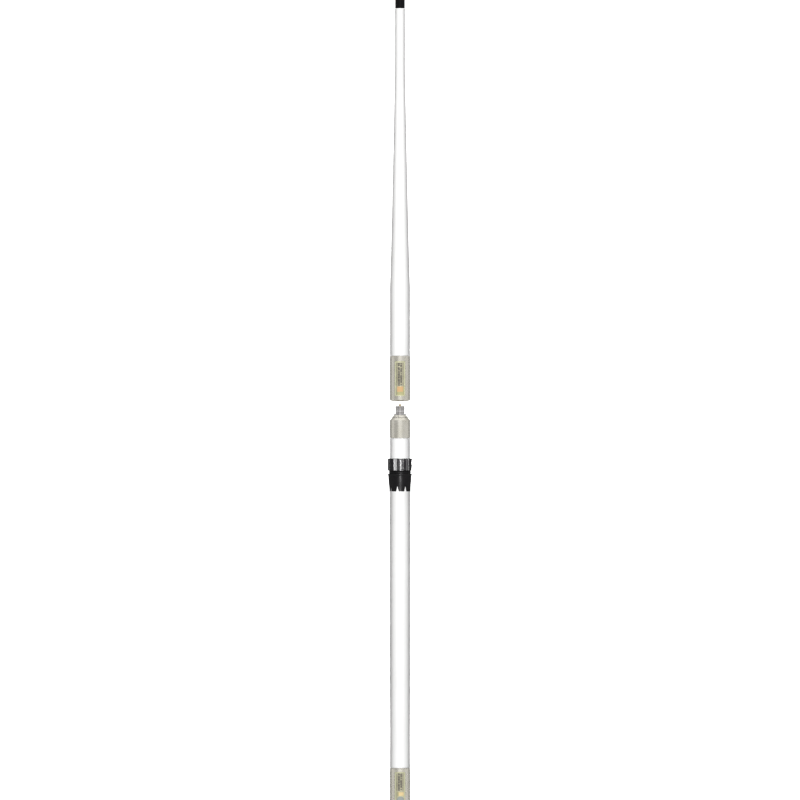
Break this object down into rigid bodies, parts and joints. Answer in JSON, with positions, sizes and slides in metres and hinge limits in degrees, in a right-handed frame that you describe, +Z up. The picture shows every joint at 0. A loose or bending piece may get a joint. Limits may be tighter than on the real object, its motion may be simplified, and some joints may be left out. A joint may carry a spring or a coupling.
{
  "type": "omnidirectional antenna",
  "caption": "Slim upright fibreglass mast antenna in two screwed sections, with metal ferrules, a tapered upper tube, a capped tip and a sliding clamp collar.",
  "frame": {"origin": "centre of the base ferrule's lower rim, where the mount's thread enters", "axes": "+Z up the mast towards the tip cap; -Y faces the front, where the labels are"},
  "size_m": [0.046, 0.046, 1.556],
  "materials": {
    "radome_white": "glossy white coating over fibreglass, with a faint orange peel",
    "ferrule_metal": "plated brass with a pale champagne tone, turned and polished",
    "stud_steel": "turned stainless steel",
    "connector_plating": "satin nickel plating",
    "contact_brass": "bright machined brass",
    "radiator_brass": "drawn brass, lightly tarnished",
    "coil_copper": "enamelled copper wire; brass stands in for copper's density",
    "white_insulator": "waxy white PTFE",
    "spacer_foam": "closed-cell foam",
    "coax_jacket": "smooth grey-white cable jacket",
    "ferrite": "dark grey sintered ferrite",
    "black_rubber": "satin black rubber",
    "grey_silicone": "pale warm-grey silicone rubber",
    "collar_plastic": "moulded black nylon, semi-gloss with a fine grain",
    "cap_plastic": "moulded black nylon",
    "label_foil": "olive-gold printed foil with a dark panel, plain bars and an amber patch"
  },
  "bodies": {
    "lower_section": {"base_ferrule": "ferrule_metal", "base_label": "label_foil", "coax_connector_shell": "connector_plating", "coax_connector_insulator": "white_insulator", "coax_connector_contact": "contact_brass", "lower_tube": "radome_white", "feed_coax": "coax_jacket", "ferrite_bead_1": "ferrite", "ferrite_bead_2": "ferrite", "ferrite_bead_3": "ferrite", "decoupling_sleeve": "radiator_brass", "lower_radiator": "radiator_brass", "lower_coil_former": "white_insulator", "lower_phasing_coil": "coil_copper", "joint_feed_rod": "radiator_brass", "lower_centring_disc_1": "spacer_foam", "lower_centring_disc_2": "spacer_foam", "lower_centring_disc_3": "spacer_foam", "joint_ferrule": "ferrule_metal", "joint_o_ring": "grey_silicone", "joint_stud": "stud_steel", "stud_insulator": "white_insulator", "contact_barrel": "contact_brass", "contact_spring": "stud_steel"},
    "contact_plunger": {"contact_pin": "contact_brass"},
    "joint_washer": {"joint_slip_washer": "white_insulator"},
    "upper_section": {"upper_ferrule": "ferrule_metal", "joint_label": "label_foil", "socket_insulator": "white_insulator", "contact_socket": "contact_brass", "upper_radiator": "radiator_brass", "upper_coil_former": "white_insulator", "upper_phasing_coil": "coil_copper", "tip_radiator": "radiator_brass", "upper_tube": "radome_white", "upper_centring_disc_1": "spacer_foam", "upper_centring_disc_2": "spacer_foam", "upper_centring_disc_3": "spacer_foam", "tip_cap": "cap_plastic"},
    "clamp_collar": {"collar_body": "collar_plastic", "collar_grip_sleeve": "black_rubber"},
    "clamp_ring": {"collar_slip_ring": "white_insulator"},
    "clamp_nut": {"collar_nut": "collar_plastic"}
  },
  "joints": [
    {"name": "upper_section_lift", "type": "slide", "parent": "lower_section", "child": "joint_washer", "axis": [0, 0, 1], "range_m": [-0.02794, 0]},
    {"name": "upper_section_turn", "type": "hinge", "parent": "joint_washer", "child": "upper_section", "pos_m": [0, 0, 0.784], "axis": [0, 0, 1], "range_deg": [-3960, 0]},
    {"name": "contact_pin_press", "type": "slide", "parent": "lower_section", "child": "contact_plunger", "axis": [0, 0, 1], "range_m": [-0.002, 0], "stiffness_N_per_m": 400, "deforming": ["contact_spring"]},
    {"name": "collar_slide", "type": "slide", "parent": "lower_section", "child": "clamp_collar", "axis": [0, 0, 1], "range_m": [-0.45, 0.02]},
    {"name": "collar_nut_travel", "type": "slide", "parent": "clamp_collar", "child": "clamp_ring", "axis": [0, 0, 1], "range_m": [0, 0.005]},
    {"name": "collar_nut_turn", "type": "hinge", "parent": "clamp_ring", "child": "clamp_nut", "pos_m": [0, 0, 0.6525], "axis": [0, 0, 1], "range_deg": [0, 720]}
  ],
  "couplings": [
    {"joint": "upper_section_lift", "follows": "upper_section_turn", "m_per_rad": 0.00040425},
    {"joint": "collar_nut_travel", "follows": "collar_nut_turn", "m_per_rad": 0.00039789}
  ]
}
